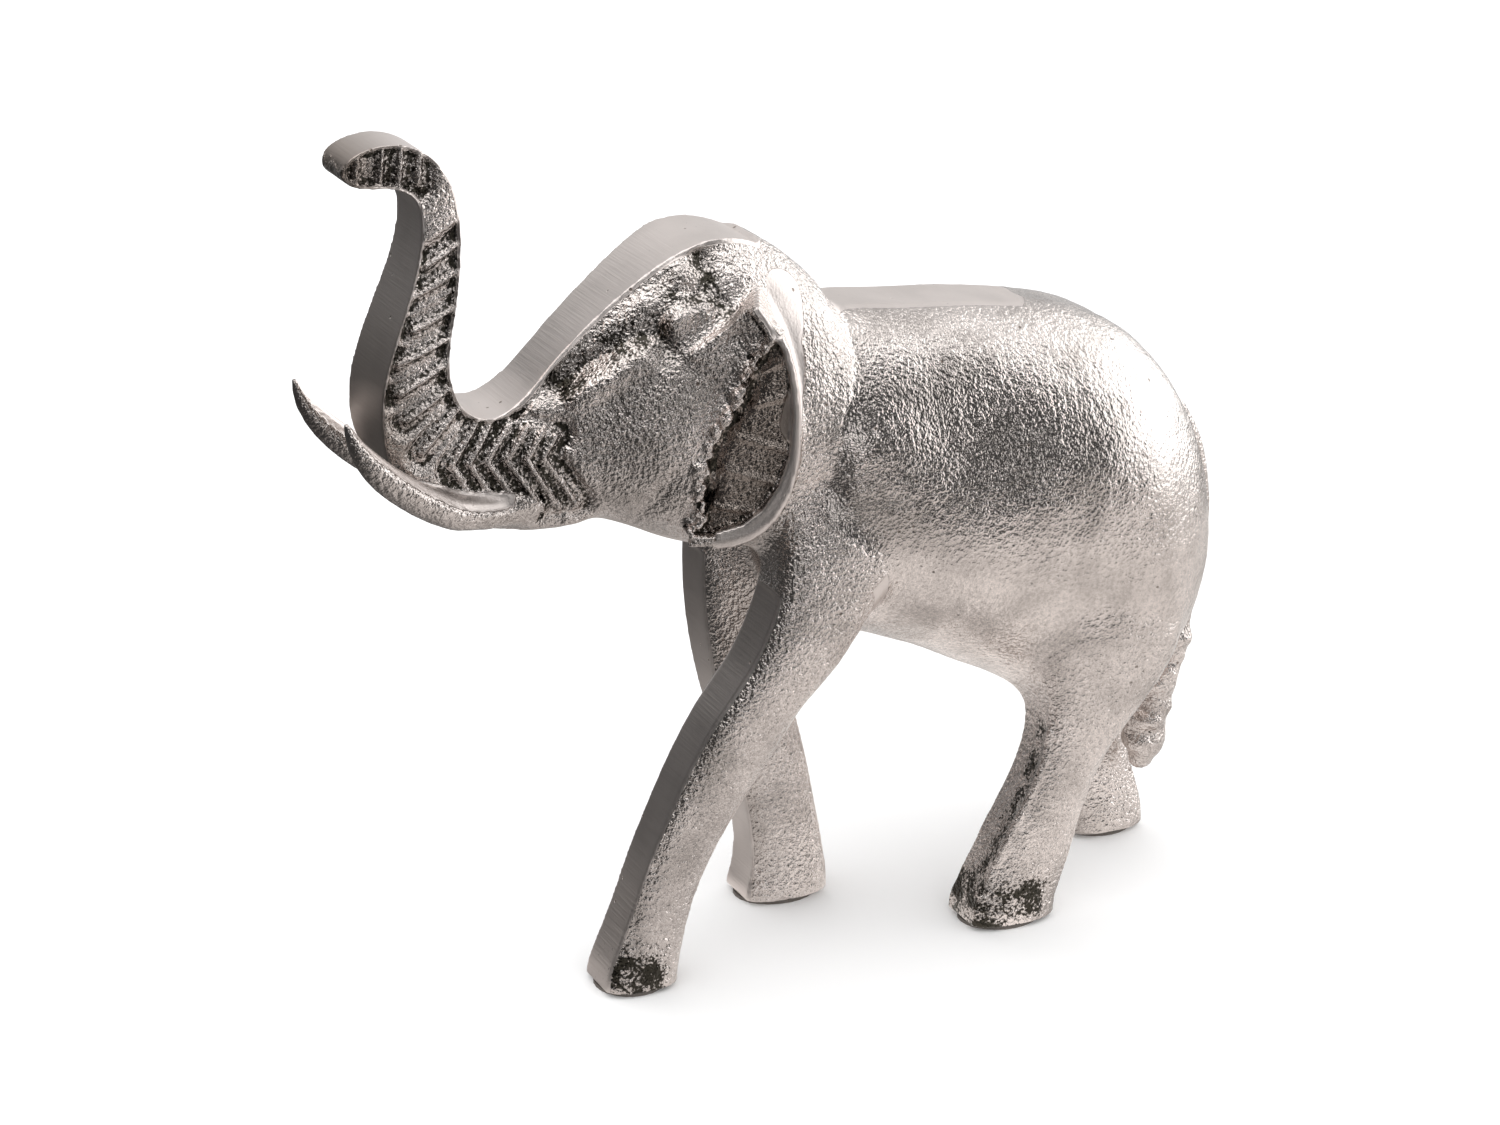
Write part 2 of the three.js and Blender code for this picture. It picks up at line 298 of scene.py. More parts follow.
for side in SIDES:
    ear = FIELDS["ear_" + side]
    u, v, w = ear_plane(ear.x, ear.y, ear.z)
    torn = 0.7 * np.sin(1.25 * v) + 0.5 * np.sin(2.7 * v + 1.0)  # how the cheek's edge wavers
    cheek = np.interp(v, CHEEK_V, CHEEK_U) + torn - u
    rim = np.maximum(u - np.interp(v, RIM_V, RIM_U), np.abs(v) - RIM_V[-1])
    edge = np.maximum(u - np.interp(v, PLATE_V, PLATE_U), np.maximum(v - PLATE_V[-1], PLATE_V[0] - v))
    across = np.abs(w + PLATE_THICKNESS / 2) - PLATE_THICKNESS / 2
    plate = np.maximum(np.maximum(edge, cheek - CHEEK_OVERLAP), across)
    recess = np.maximum(np.maximum(cheek, rim), -EAR_DEPTH - w)
    filled = joined(skin[ear.window], plate.astype(np.float32), 1.0)
    skin[ear.window] = -joined(-filled, recess.astype(np.float32), 0.8)

levels = np.arange(SHAPE[2]) * VOXEL + LOW[2]
skin = np.maximum(skin, SOLE_Z - levels.astype(np.float32))


# ---- the skin's mesh ----
def surface(values):
    """Points in millimetres and quads of the surface where values are zero, facing out."""
    grid = openvdb.FloatGrid()
    grid.background = REACH
    grid.copyFromArray(np.ascontiguousarray(values))
    points, quads = grid.convertToQuads(isovalue=0.0)
    points = points.astype(float) * VOXEL + LOW
    quads = quads.astype(np.int64)
    a, b, c = (points[quads[:, i]] for i in (0, 1, 2))
    if np.einsum("ij,ij->i", a, np.cross(b, c)).sum() < 0:
        quads = quads[:, ::-1]
    return points, quads


def vertex_normals(points, quads):
    """Unit normals at points, from the quads around them."""
    normals = np.zeros_like(points)
    crossed = np.cross(points[quads[:, 2]] - points[quads[:, 0]], points[quads[:, 3]] - points[quads[:, 1]])
    for corner in range(4):
        for axis in range(3):
            normals[:, axis] += np.bincount(quads[:, corner], crossed[:, axis], len(points))
    return normals / np.maximum(np.linalg.norm(normals, axis=1, keepdims=True), 1e-9)


def neighbour_mean(values, quads):
    """The mean of values over each point's neighbours."""
    edges = np.concatenate([quads[:, [i, (i + 1) % 4]] for i in range(4)])
    count = np.bincount(edges[:, 0], minlength=len(values))
    columns = values.reshape(len(values), -1).T
    means = [np.bincount(edges[:, 0], column[edges[:, 1]], len(values)) / count for column in columns]
    return np.stack(means, axis=1).reshape(values.shape)


def relaxed(points, quads, rounds):
    """points moved towards their neighbours' middle and away again, which evens the mesh."""
    for _ in range(rounds):
        for share in (0.5, -0.52):
            points = points + share * (neighbour_mean(points, quads) - points)
    return points


points, quads = surface(skin)
points = relaxed(points, quads, 2)
normals = vertex_normals(points, quads)

# ---- which casting each face belongs to ----
NAMES = list(FIELDS)
LABEL_ROUNDS = 5


def shares_by_label(points, quads):
    """Each casting's share of every point, blurred so that no small island is left."""
    nearest = np.argmin(np.stack([FIELDS[name].at(points) for name in NAMES]), axis=0)
    shares = np.eye(len(NAMES))[nearest]
    for _ in range(LABEL_ROUNDS):
        shares = 0.5 * shares + 0.5 * neighbour_mean(shares, quads)
    return shares


shares = shares_by_label(points, quads)
share_of = {name: shares[:, i] for i, name in enumerate(NAMES)}
labels = np.array(NAMES, dtype=object)[np.argmax(shares[quads].sum(axis=1), axis=1)]
sides = np.where(points[quads][:, :, 0].mean(axis=1) > 0, "_left", "_right")
labels = np.where(np.isin(labels, ("torso", "head")), labels + sides, labels).astype(str)


# ---- sculpting tools ----
LATTICE = 32  # random values along each side of the noise's cube, which repeats
LATTICE_SHIFT = 7.3


def lumps(points, wavelength, seed):
    """Smooth noise between -1 and 1."""
    lattice = np.random.default_rng(seed).uniform(-1, 1, (LATTICE, LATTICE, LATTICE))
    places = np.mod(points / wavelength + LATTICE_SHIFT, LATTICE - 1)
    base = np.floor(places)
    share = places - base
    return sample(lattice, base + share * share * (3 - 2 * share))


def distance_to(line, points):
    """The distance from points to the nearest place on a line through the given places."""
    line = np.array(line, float)
    nearest = np.full(len(points), np.inf)
    for start, end in zip(line, line[1:]):
        step = end - start
        share = np.clip((points - start) @ step / (step @ step), 0, 1)
        nearest = np.minimum(nearest, np.linalg.norm(points - start - share[:, None] * step, axis=1))
    return nearest


def bell(distance, width):
    """1 at no distance, falling off smoothly over about width."""
    return np.exp(-((distance / width) ** 2))


# ---- ground faces ----
GROUND_DEPTH = (0.35, 0.85)  # below the ground profile: ground metal ends, cast metal begins
TRUNK_TIP_Y = (-133, -141)  # the ground flats end, and the cast tip is all there is
RIM_DEPTH = (0.6, 1.2)  # behind the ear's front: the rim's ground metal ends, cast metal begins
NECK_PATCH = ((22, -12, 208), (33, -14, 196), (38, -13, 184), (41, -16, 173))  # behind the ear
NECK_PATCH_REACH = (5.0, 7.0)  # from the patch's line
TUSK_GRIND = 0.8  # taken off the tops of the tusks

mirrored = points.copy()
mirrored[:, 0] = np.abs(mirrored[:, 0])


def fully(*names):
    """1 on these castings, falling to 0 in the welds round them."""
    return np.minimum(sum(share_of[name] for name in names) * 2, 1)


ground = np.zeros(len(points))
ground_castings = [(FIELDS[name], (name,)) for name in ("torso",) + FORELEGS]
ground_castings.append((face, ("head", "trunk")))
for field, names in ground_castings:
    edge = 1 - smoothstep(*GROUND_DEPTH, field.ground_depth(points))
    ground = np.maximum(ground, edge * fully(*names))
trunk_tip = smoothstep(*TRUNK_TIP_Y, points[:, 1]) * share_of["trunk"]
ground *= 1 - trunk_tip

ear_share = fully("ear_left", "ear_right")
ear_u, ear_v, ear_w = ear_plane(*points.T)
on_rim = smoothstep(-1.0, 0.0, ear_u - np.interp(ear_v, RIM_V, RIM_U))
ground = np.maximum(ground, ear_share * on_rim * (1 - smoothstep(*RIM_DEPTH, -ear_w)))
ground = np.maximum(ground, 1 - smoothstep(*NECK_PATCH_REACH, distance_to(NECK_PATCH, mirrored)))

tusk_share = fully("tusk_left", "tusk_right")
tusk_top = tusk_share * smoothstep(0.1, 0.5, normals[:, 2])
ground = np.maximum(ground, tusk_top)

# ---- sculpted shapes, as moves along the normal ----
# Bumps and hollows on the left side, which the right side mirrors: the place, the radius and the height.
FACE_BUMPS = {
    "brow": ((18.5, -42, 215.3), 4.2, 2.6),
    "hollow under the brow": ((22, -40, 210), 3.2, -1.8),
    "temple": ((24, -24, 213), 5.0, 1.2),
    "hollow behind the eye": ((32, -32, 198), 4.0, -2.0),
    "cheek": ((28, -50, 172), 14.0, 0.8),
    "jaw": ((27, -46, 146), 7.0, 0.8),
}
BODY_BUMPS = {
    "shoulder": ((44, 3, 168), 15.0, 2.4),
    "flank": ((47, 38, 158), 19.0, -2.4),
    "haunch": ((46, 82, 156), 24.0, 2.8),
    "chest": ((38, -8, 135), 14.0, 0.8),
}
# Ridges and grooves in the same way: the line, the width and the height.
OVER_CHEEKBONE = ((12, -77, 185), (16, -70, 192), (20, -60, 199), (23, -54, 201))
BEFORE_EYE = ((22, -52, 203), (25, -50, 195))
BEHIND_BROW = ((18, -36, 218), (23, -35, 212.5), (26, -33, 207))
HIND_LEG_FRONT = ((31, 67, 62), (30.5, 65, 50), (30, 58, 36), (29.5, 51, 22), (29, 46, 12))
RIDGES = {
    "cheekbone": (((15, -73, 181), (19, -66, 186), (24, -57, 193)), 3.6, 2.4),
    "hollow over the cheekbone": (OVER_CHEEKBONE, 3.4, -2.4),
    "ridge under the forehead": (((12, -71, 201), (15, -63, 205), (18, -54, 208)), 2.6, 1.4),
    "eyelid": (((22, -46.5, 201), (25, -42.5, 205.5), (28, -37.5, 207)), 3.0, 2.2),
    "hollow before the eye": (BEFORE_EYE, 3.6, -1.8),
    "hollow behind the brow": (BEHIND_BROW, 3.4, -2.4),
    "fold round the jaw": (((32, -50, 160), (27, -56, 150), (20, -60, 143)), 3.0, -0.9),
    "hind leg's ridge": (((36, 69, 62), (35.5, 67, 50), (35, 60, 36), (34.5, 53, 22)), 1.8, 1.0),
}
moves = np.zeros(len(points))
for place, radius, height in [*FACE_BUMPS.values(), *BODY_BUMPS.values()]:
    moves += height * bell(np.linalg.norm(mirrored - np.array(place), axis=1), radius)
for line, width, height in RIDGES.values():
    moves += height * bell(distance_to(line, mirrored), width)

# The cheek's edge is folded and torn where it overlaps the ear, and ribs fan out across the recess.
EAR_RIBS = (  # by u and v
    ((15, 15), (22, 19)),
    ((12, 5), (23, 8)),
    ((6, -4), (23, -9)),
    ((4, -14), (21, -19)),
    ((1, -25), (15, -27)),
)
RIB_WIDTH = 0.9
RIB_HEIGHT = 0.8
off_edge = ear_u - np.interp(ear_v, CHEEK_V, CHEEK_U)
near_ear = smoothstep(-9, -6, ear_w) * smoothstep(34, 31, np.abs(ear_v))
moves += near_ear * bell(off_edge + 1.5, 2.4) * (0.6 + 1.4 * lumps(mirrored, 3.6, 5))
in_recess = smoothstep(-0.5, 1.0, off_edge) * smoothstep(-2.8, -3.4, ear_w) * near_ear
in_recess *= smoothstep(0.0, 1.0, np.interp(ear_v, RIM_V, RIM_U) - ear_u)
moves -= in_recess * bell(off_edge - 2.5, 2.5) * (1.0 + 0.8 * lumps(mirrored, 4.5, 6))
flat_places = np.stack([ear_u, ear_v], axis=1)
for rib in EAR_RIBS:
    moves += RIB_HEIGHT * in_recess * bell(distance_to(rib, flat_places), RIB_WIDTH)

# Folds across the trunk's side, as crests by y and z, with the surface falling away on both sides.
FOLD_DEPTH = 2.2
FOLD_LENGTH = 1.1
FOLD_REACH = (3.0, 6.5)
FOLDS = [
    ((-115, 223.5), (-102, 230)),
    ((-120, 215), (-103, 222)),
    ((-120, 206), (-103, 212.5)),
    ((-125, 197), (-104, 204.5)),
    ((-125, 188.5), (-104, 198.5)),
    ((-123, 181), (-103, 192.5)),
    ((-119, 171), (-102, 188)),
]
CHEVRONS = 6
CHEVRON_PITCH = 5.2
FIRST_CHEVRON_Y = -110.5
for i in range(CHEVRONS):
    y = FIRST_CHEVRON_Y + CHEVRON_PITCH * i
    FOLDS.append(((y + 10 - 1.2 * i, 180 - 1.6 * i), (y, 166), (y + 10, 150)))
FOLDS += [((y, 246), (y + 1.5, 258)) for y in (-134, -127, -121.5, -116)]

side_view = points[:, 1:]
off_fold = np.min([distance_to(fold, side_view) for fold in FOLDS], axis=0)
folded = (1 - np.exp(-off_fold / FOLD_LENGTH)) * (1 - smoothstep(*FOLD_REACH, off_fold))
sideways = smoothstep(0.45, 0.75, np.abs(normals[:, 0])) * (1 - np.clip(ground, 0, 1))
on_trunk = fully("trunk", "head") * sideways
moves -= FOLD_DEPTH * folded * on_trunk

# The tail ends in a lumpy tuft.
TUFT_Z = (78, 68)
tuft = share_of["tail"] * smoothstep(*TUFT_Z, points[:, 2])
moves += tuft * (2.2 + 1.8 * lumps(points, 4.0, 4))

# The cast faces are a little uneven. Grinding comes last, so nothing sculpted reaches the ground faces.
moves += 0.22 * lumps(points, 11.0, 1) + 0.10 * lumps(points, 4.0, 2) + 0.05 * lumps(points, 1.9, 3)
moves *= 1 - np.clip(ground, 0, 1)
moves -= TUSK_GRIND * tusk_top

points = points + moves[:, None] * normals
normals = vertex_normals(points, quads)

# ---- painted shade ----
# Shade and dark reflections are painted into the colour here: in the hollows, on the trunk's tip, on the
# feet,
# and along these lines: the line, the width and the strength.
HOLLOW_REACH = 2.2
PAINTED_FOOT_SHADE_Z = (22, 10)
TRUNK_BROWN_Y = (-116, -139)
PAINTED_SHADE_LINES = {
    "over the cheekbone": (OVER_CHEEKBONE, 6.5, 0.9),
    "before the eye": (BEFORE_EYE, 5.0, 0.8),
    "behind the brow": (BEHIND_BROW, 4.5, 1.0),
    "under the brow": (((16, -55, 213), (19, -50, 210), (23, -40, 209)), 4.0, 0.8),
    "crown's side": (((20, -25, 219), (25, -21, 213), (27, -22, 206)), 6.5, 0.5),
    "hind leg's front": (HIND_LEG_FRONT, 4.5, 0.95),
}
evened = points
for _ in range(round((HOLLOW_REACH / VOXEL) ** 2)):
    evened = neighbour_mean(evened, quads)
hollow = np.einsum("ij,ij->i", evened - points, normals)
# painted shade in the hollows
painted_shade = 0.7 * smoothstep(0.08, 0.45, hollow)
broken = 0.75 + 0.5 * lumps(points, 3.0, 9)
for line, width, strength in PAINTED_SHADE_LINES.values():
    painted_shade = np.maximum(painted_shade, strength * broken * bell(distance_to(line, mirrored), width))
# a painted dark reflection low on the feet, on faces that don't look backwards, and only on the left side,
# the side towards the camera
foot_shade_mask = smoothstep(*PAINTED_FOOT_SHADE_Z, points[:, 2]) * smoothstep(0.5, 0.0, normals[:, 1])
foot_shade_mask *= points[:, 0] > 0
# the painted dark reflections on the feet, and painted shade over the trunk's tip
painted_shade = np.maximum(painted_shade, np.maximum(0.85 * foot_shade_mask * broken, 0.75 * trunk_tip))
# painted shade along the troughs of the trunk's folds
painted_shade = np.maximum(painted_shade, 0.55 * on_trunk * bell(off_fold - 1.3, 0.9))
painted_shade = np.clip(painted_shade * (1 - 0.8 * np.maximum(ground, ear_share * on_rim)), 0, 1)
# painted brown shade in the ear's recess, and brown towards the trunk's tip
recess_shade_and_brown = np.maximum(0.75 * in_recess, 0.8 * smoothstep(*TRUNK_BROWN_Y, points[:, 1]) * share_of["trunk"])
coarseness = 1.0 - 0.5 * share_of["torso"]
coarseness = np.clip(coarseness - 0.3 * tusk_share - 0.3 * in_recess, 0, 1)
SURFACE = {"ground": ground, "recess_shade_and_brown": recess_shade_and_brown, "painted_shade": painted_shade, "coarseness": coarseness}


# ---- materials ----
def principled(name, color, metallic, roughness):
    """A plain material."""
    made = bpy.data.materials.new(name)
    made.use_nodes = True
    shader = made.node_tree.nodes["Principled BSDF"]
    shader.inputs["Base Color"].default_value = (*color, 1)
    shader.inputs["Metallic"].default_value = metallic
    shader.inputs["Roughness"].default_value = roughness
    return made


class Nodes:
    """Short ways to add nodes to a tree."""

    def __init__(self, tree):
        self.tree = tree

    def add(self, kind, inputs=(), **settings):
        """A shader node with these inputs, which are values or other nodes' outputs."""
        node = self.tree.nodes.new("ShaderNode" + kind)
        for key, value in settings.items():
            setattr(node, key, value)
        for key, value in dict(inputs).items():
            if isinstance(value, bpy.types.NodeSocket):
                self.tree.links.new(value, node.inputs[key])
            else:
                node.inputs[key].default_value = value
        return node

    def math(self, operation, *values):
        """The result of a Math node."""
        return self.add("Math", dict(enumerate(values)), operation=operation).outputs[0]

    def blend(self, share, low, high):
        """A number between low and high."""
        return self.add("MapRange", {"Value": share, "To Min": low, "To Max": high}).outputs["Result"]

    def step(self, value, low, high):
        """0 where value is at low, 1 where it is at high, and a smooth step between."""
        made = self.add("MapRange", {"Value": value, "From Min": low, "From Max": high})
        made.interpolation_type = "SMOOTHSTEP"
        return made.outputs["Result"]

    def mix(self, share, a, b):
        """A colour between a and b."""
        made = self.add("Mix", data_type="RGBA")
        for key, value in ((0, share), (6, a), (7, b)):
            if isinstance(value, bpy.types.NodeSocket):
                self.tree.links.new(value, made.inputs[key])
            else:
                made.inputs[key].default_value = value
        return made.outputs[2]

    def noise(self, place, scale, detail=2.0):
        """Noise between 0 and 1, with scale in waves per metre."""
        return self.add("TexNoise", {"Vector": place, "Scale": scale, "Detail": detail}).outputs["Fac"]

    def mark(self, name):
        """A number stored on the skin's points."""
        return self.add("Attribute", attribute_name=name).outputs["Fac"]


NICKEL = (0.83, 0.76, 0.725)
NICKEL_DARK = (0.58, 0.53, 0.50)
# brown for the painted shade in the ear's recess, towards the trunk's tip, and in the pits
DARK_BROWN = (0.26, 0.21, 0.175)
# near black for painted shade and painted dark reflections
PAINTED_SHADE_COLOR = (0.055, 0.050, 0.040)
# Scales of the patterns, in waves per metre.
GRAIN = 780.0
FINE_GRAIN = 1900.0
SCRATCHES = (60.0, 1400.0, 1400.0)  # long across the figure, as it was ground
PITS = 230.0
MOTTLE = 60.0
PAINTED_SHADE_SPECKS = 1100.0
RAGGED_EDGE = 500.0
GRAIN_DEPTH = 0.0008  # metres
PIT_DEPTH = 0.7  # in grain depths
PITTED = 0.8  # the pattern's cells above this share hold a pit


def cast_metal():
    """Bare metal with a sandy cast grain, and finely scratched where it is ground, with shade and dark
    reflections painted into its colour.
    """
    made = principled("cast_metal", NICKEL, 1.0, 0.3)
    tree = made.node_tree
    shader = tree.nodes["Principled BSDF"]
    nodes = Nodes(tree)
    place = nodes.add("TexCoord").outputs["Object"]
    coarse_mark = nodes.mark("coarseness")

    ragged = nodes.math("MULTIPLY_ADD", nodes.noise(place, RAGGED_EDGE), 0.5, -0.25)
    is_ground = nodes.step(nodes.math("ADD", nodes.mark("ground"), ragged), 0.42, 0.58)

    grain = nodes.noise(place, GRAIN, 1.5)
    fine = nodes.noise(place, FINE_GRAIN, 1.0)
    grain_height = nodes.math("MULTIPLY_ADD", fine, 0.3, grain)
    grain_height = nodes.math("MULTIPLY", grain_height, coarse_mark)
    streaks = nodes.add("Mapping", {"Vector": place, "Scale": SCRATCHES}).outputs[0]
    scratches = nodes.noise(streaks, 1.0, 3.0)
    scratch_height = nodes.math("MULTIPLY", scratches, 0.10)
    pits = nodes.add("TexVoronoi", {"Vector": place, "Scale": PITS})
    in_pit = nodes.math("SUBTRACT", 1.0, nodes.step(pits.outputs["Distance"], 0.07, 0.14))
    cell = nodes.add("SeparateColor", {0: pits.outputs["Color"]}).outputs[0]
    in_pit = nodes.math("MULTIPLY", in_pit, nodes.math("GREATER_THAN", cell, PITTED))

    height = nodes.blend(is_ground, grain_height, scratch_height)
    height = nodes.math("MULTIPLY_ADD", in_pit, -PIT_DEPTH, height)
    bump = nodes.add("Bump", {"Strength": 1.0, "Distance": GRAIN_DEPTH, "Height": height})

    mottle = nodes.noise(place, MOTTLE, 3.0)
    color = nodes.mix(nodes.step(mottle, 0.35, 0.75), (*NICKEL, 1), (*NICKEL_DARK, 1))
    color = nodes.mix(nodes.math("MULTIPLY", is_ground, 0.7), color, (*NICKEL, 1))
    # painted brown shade in the ear's recess, and brown towards the trunk's tip
    color = nodes.mix(nodes.mark("recess_shade_and_brown"), color, (*DARK_BROWN, 1))
    # the pits in dark brown
    color = nodes.mix(nodes.math("MULTIPLY", in_pit, 0.8), color, (*DARK_BROWN, 1))
    # painted shade and dark reflections, broken into specks at their edges
    patchy = nodes.math("MULTIPLY_ADD", nodes.noise(place, PAINTED_SHADE_SPECKS), -1.6, 0.8)
    painted_shade_share = nodes.step(nodes.math("ADD", nodes.mark("painted_shade"), patchy), 0.35, 0.65)
    # painted shade in the low places of the cast grain, off the ground faces
    painted_grain_shade = nodes.math("MULTIPLY", nodes.step(grain, 0.60, 0.30), nodes.blend(is_ground, 0.16, 0.0))
    color = nodes.mix(nodes.math("MAXIMUM", painted_grain_shade, painted_shade_share), color, (*PAINTED_SHADE_COLOR, 1))
    cast_roughness = nodes.blend(coarse_mark, 0.19, 0.10)
    cast_roughness = nodes.math("ADD", cast_roughness, nodes.blend(mottle, -0.03, 0.05))
    roughness = nodes.blend(is_ground, cast_roughness, nodes.blend(scratches, 0.30, 0.46))

    tree.links.new(bump.outputs["Normal"], shader.inputs["Normal"])
    tree.links.new(color, shader.inputs["Base Color"])
    tree.links.new(roughness, shader.inputs["Roughness"])
    return made


def fibrous(name, dark, pale, scale):
    """A matt surface of short fibres between two colours."""
    made = principled(name, dark, 0.0, 0.95)
    tree = made.node_tree
    shader = tree.nodes["Principled BSDF"]
    nodes = Nodes(tree)
    place = nodes.add("TexCoord").outputs["Object"]
    fibres = nodes.noise(place, scale, 6.0)
    bump = nodes.add("Bump", {"Strength": 0.7, "Distance": 0.0003, "Height": fibres})
    tree.links.new(nodes.mix(fibres, (*dark, 1), (*pale, 1)), shader.inputs["Base Color"])
    tree.links.new(nodes.blend(fibres, 0.85, 1.0), shader.inputs["Roughness"])
    tree.links.new(bump.outputs["Normal"], shader.inputs["Normal"])
    return made


METAL = cast_metal()
FELT = fibrous("felt", (0.07, 0.06, 0.052), (0.17, 0.15, 0.135), 1800.0)


# ---- one closed piece for each casting ----
TUCK = 1.2  # how far a piece's edge turns in below the skin before it is closed


def boundary_loops(faces):
    """Loops of points around the faces' open edges, each against the faces' own direction."""
    edges = np.concatenate([faces[:, [i, (i + 1) % 4]] for i in range(4)])
    there = {(a, b) for a, b in edges.tolist()}
    following = {}
    for a, b in there:
        if (b, a) not in there:
            following.setdefault(b, []).append(a)
    loops = []
    while following:
        start = min(following)
        loop = [start]
        here = start
        while True:
            onward = following[here]
            step = onward.pop()
            if not onward:
                del following[here]
            if step == start:
                break
            loop.append(step)
            here = step
        loops.append(loop)
    return loops


def make_piece(name, faces):
    """An object of the skin's given faces, closed below its open edges."""
    used, local = np.unique(faces, return_inverse=True)
    polygons = local.reshape(-1, 4).tolist()
    place = {old: new for new, old in enumerate(used.tolist())}
    vertices = [points[used]]
    facing = [normals[used]]
    count = len(used)
    for loop in boundary_loops(faces):
        ring = [place[i] for i in loop]
        tucked = points[loop] - TUCK * normals[loop]
        inner = list(range(count, count + len(loop)))
        middle = count + len(loop)
        count = middle + 1
        vertices += [tucked, tucked.mean(axis=0)[None]]
        facing += [normals[loop], normals[loop[:1]]]
        for i in range(len(loop)):
            j = (i + 1) % len(loop)
            polygons.append([ring[i], ring[j], inner[j], inner[i]])
            polygons.append([inner[i], inner[j], middle])
    mesh = bpy.data.meshes.new(name)
    mesh.from_pydata((np.concatenate(vertices) * MM).tolist(), [], polygons)
    mesh.polygons.foreach_set("use_smooth", np.ones(len(polygons), bool))
    mesh.normals_split_custom_set_from_vertices(np.concatenate(facing).tolist())
    for key, values in SURFACE.items():
        layer = mesh.attributes.new(key, "FLOAT", "POINT")
        filled = np.zeros(count, np.float32)
        filled[: len(used)] = values[used]
        layer.data.foreach_set("value", filled)
    mesh.materials.append(METAL)
    piece = bpy.data.objects.new(name, mesh)
    bpy.context.scene.collection.objects.link(piece)
    return piece


for node in sorted(set(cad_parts) - set(PADS)):
    piece = make_piece("skin_" + node, quads[labels == node])
    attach(piece, "root")
    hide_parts(node)
for node in PADS:
    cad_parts[node].data.materials.clear()
    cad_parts[node].data.materials.append(FELT)

# ---- floor, in metres ----
FLOOR_HALF = 6.0


def square(name, half, material):
    """A flat square round its own origin, facing up."""
    mesh = bpy.data.meshes.new(name)
    corners = [(-half, -half, 0), (half, -half, 0), (half, half, 0), (-half, half, 0)]
    mesh.from_pydata(corners, [], [(0, 1, 2, 3)])
    mesh.materials.append(material)
    made = bpy.data.objects.new(name, mesh)
    bpy.context.scene.collection.objects.link(made)
    return made


floor = square("floor", FLOOR_HALF, principled("pale_floor", (0.92, 0.92, 0.92), 0.0, 0.9))
floor.visible_glossy = False  # the metal sees the lit pool below instead

# The metal sees a pool of light on the floor round the figure, and darkness beyond it.
POOL_CENTRE = Vector((0.15, 0.35, -0.0005))
POOL_EDGES = (0.28, 0.64)  # distances from its centre where it starts to fade and ends
POOL_STRENGTH = 1.12
POOL_LEAST = 0.45  # the share of the strength in its dimmest patches
POOL_PATCHES = 24.0  # patches per metre
POOL_DARK = 0.07  # the strength beyond it
POOL_COLOR = (1.0, 0.96, 0.93, 1.0)


def pool_of_light():
    """Light in soft patches, fading out towards the pool's edge."""
    made = bpy.data.materials.new("pool_of_light")
    made.use_nodes = True
    tree = made.node_tree
    nodes = Nodes(tree)
    place = nodes.add("TexCoord").outputs["Object"]
    away = nodes.add("VectorMath", {0: place}, operation="LENGTH").outputs["Value"]
    patches = nodes.step(nodes.noise(place, POOL_PATCHES), 0.40, 0.60)
    brightest = nodes.blend(patches, POOL_LEAST * POOL_STRENGTH, POOL_STRENGTH)
    strength = nodes.blend(nodes.step(away, *POOL_EDGES), brightest, POOL_DARK)
    glow = nodes.add("Emission", {"Color": POOL_COLOR, "Strength": strength})
    tree.links.new(glow.outputs[0], tree.nodes["Material Output"].inputs["Surface"])
    return made


pool = square("pool", POOL_EDGES[1], pool_of_light())
pool.location = POOL_CENTRE
for kind in ("camera", "diffuse", "transmission", "volume_scatter", "shadow"):
    setattr(pool, "visible_" + kind, False)


# ---- studio ----
def toward(azimuth, elevation):
    """The direction at an azimuth from +X towards +Y and an elevation, both in degrees."""
    azimuth, elevation = math.radians(azimuth), math.radians(elevation)
    level = math.cos(elevation)
    return Vector((math.cos(azimuth) * level, math.sin(azimuth) * level, math.sin(elevation)))


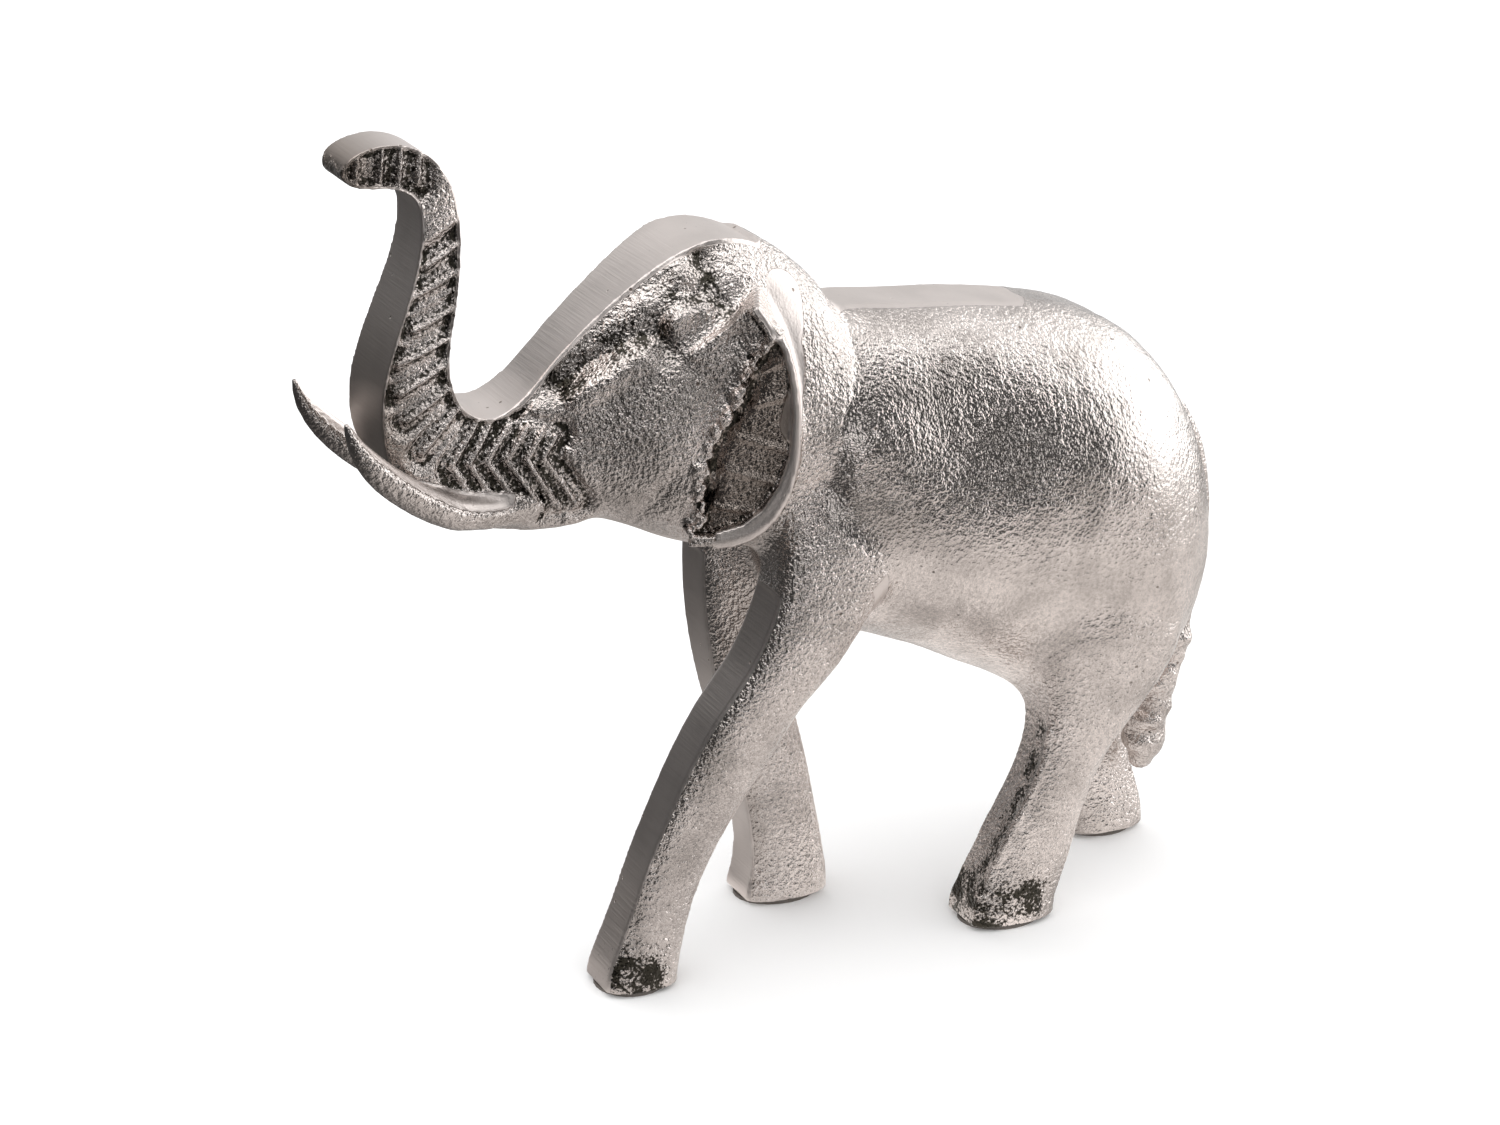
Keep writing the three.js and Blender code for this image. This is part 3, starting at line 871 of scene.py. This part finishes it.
# Soft lights as the metal sees them: azimuth and elevation of the centre, half angles at full
# strength and at none, all in degrees, and the strength.
STUDIO_BASE = 0.045
SOFT_LIGHTS = (
    (-90, 78, 24, 46, 1.6),  # overhead
    (86, 4, 32, 54, 1.7),  # behind the figure
    (140, 28, 22, 75, 0.6),  # beyond the right flank
    (-14, 12, 8, 20, 1.1),  # a card beside the left shoulder
)
EVEN_LIGHT = 1.5  # what everything but the metal's reflections sees


def studio_world():
    """The soft lights in the metal's reflections, and an even light for everything else."""
    world = bpy.data.worlds.new("studio")
    world.use_nodes = True
    tree = world.node_tree
    nodes = Nodes(tree)
    direction = nodes.add("TexCoord").outputs["Generated"]
    total = STUDIO_BASE
    for azimuth, elevation, full, none, strength in SOFT_LIGHTS:
        centre = {0: direction, 1: toward(azimuth, elevation)}
        facing = nodes.add("VectorMath", centre, operation="DOT_PRODUCT").outputs["Value"]
        lit = nodes.step(facing, math.cos(math.radians(none)), math.cos(math.radians(full)))
        total = nodes.math("MULTIPLY_ADD", lit, strength, total)
    glossy = nodes.add("LightPath").outputs["Is Glossy Ray"]
    background = tree.nodes["Background"]
    background.inputs["Color"].default_value = (1, 1, 1, 1)
    tree.links.new(nodes.blend(glossy, EVEN_LIGHT, total), background.inputs["Strength"])
    return world


bpy.context.scene.world = studio_world()
bpy.context.scene.view_settings.view_transform = "Standard"

# ---- camera, in metres ----
AIM = Vector((0, -0.0128, 0.1175))
CAMERA_DISTANCE = 1.15
CAMERA_AZIMUTH = -25  # degrees
CAMERA_ELEVATION = 20.5
FOCAL_LENGTH = 93.84  # millimetres, on a sensor 36 wide
to_camera = toward(CAMERA_AZIMUTH, CAMERA_ELEVATION)
lens = bpy.data.cameras.new("camera")
lens.sensor_width = 36
lens.lens = FOCAL_LENGTH
camera = bpy.data.objects.new("camera", lens)
camera.location = AIM + CAMERA_DISTANCE * to_camera
camera.rotation_euler = to_camera.to_track_quat("Z", "Y").to_euler()
bpy.context.scene.collection.objects.link(camera)
bpy.context.scene.camera = camera
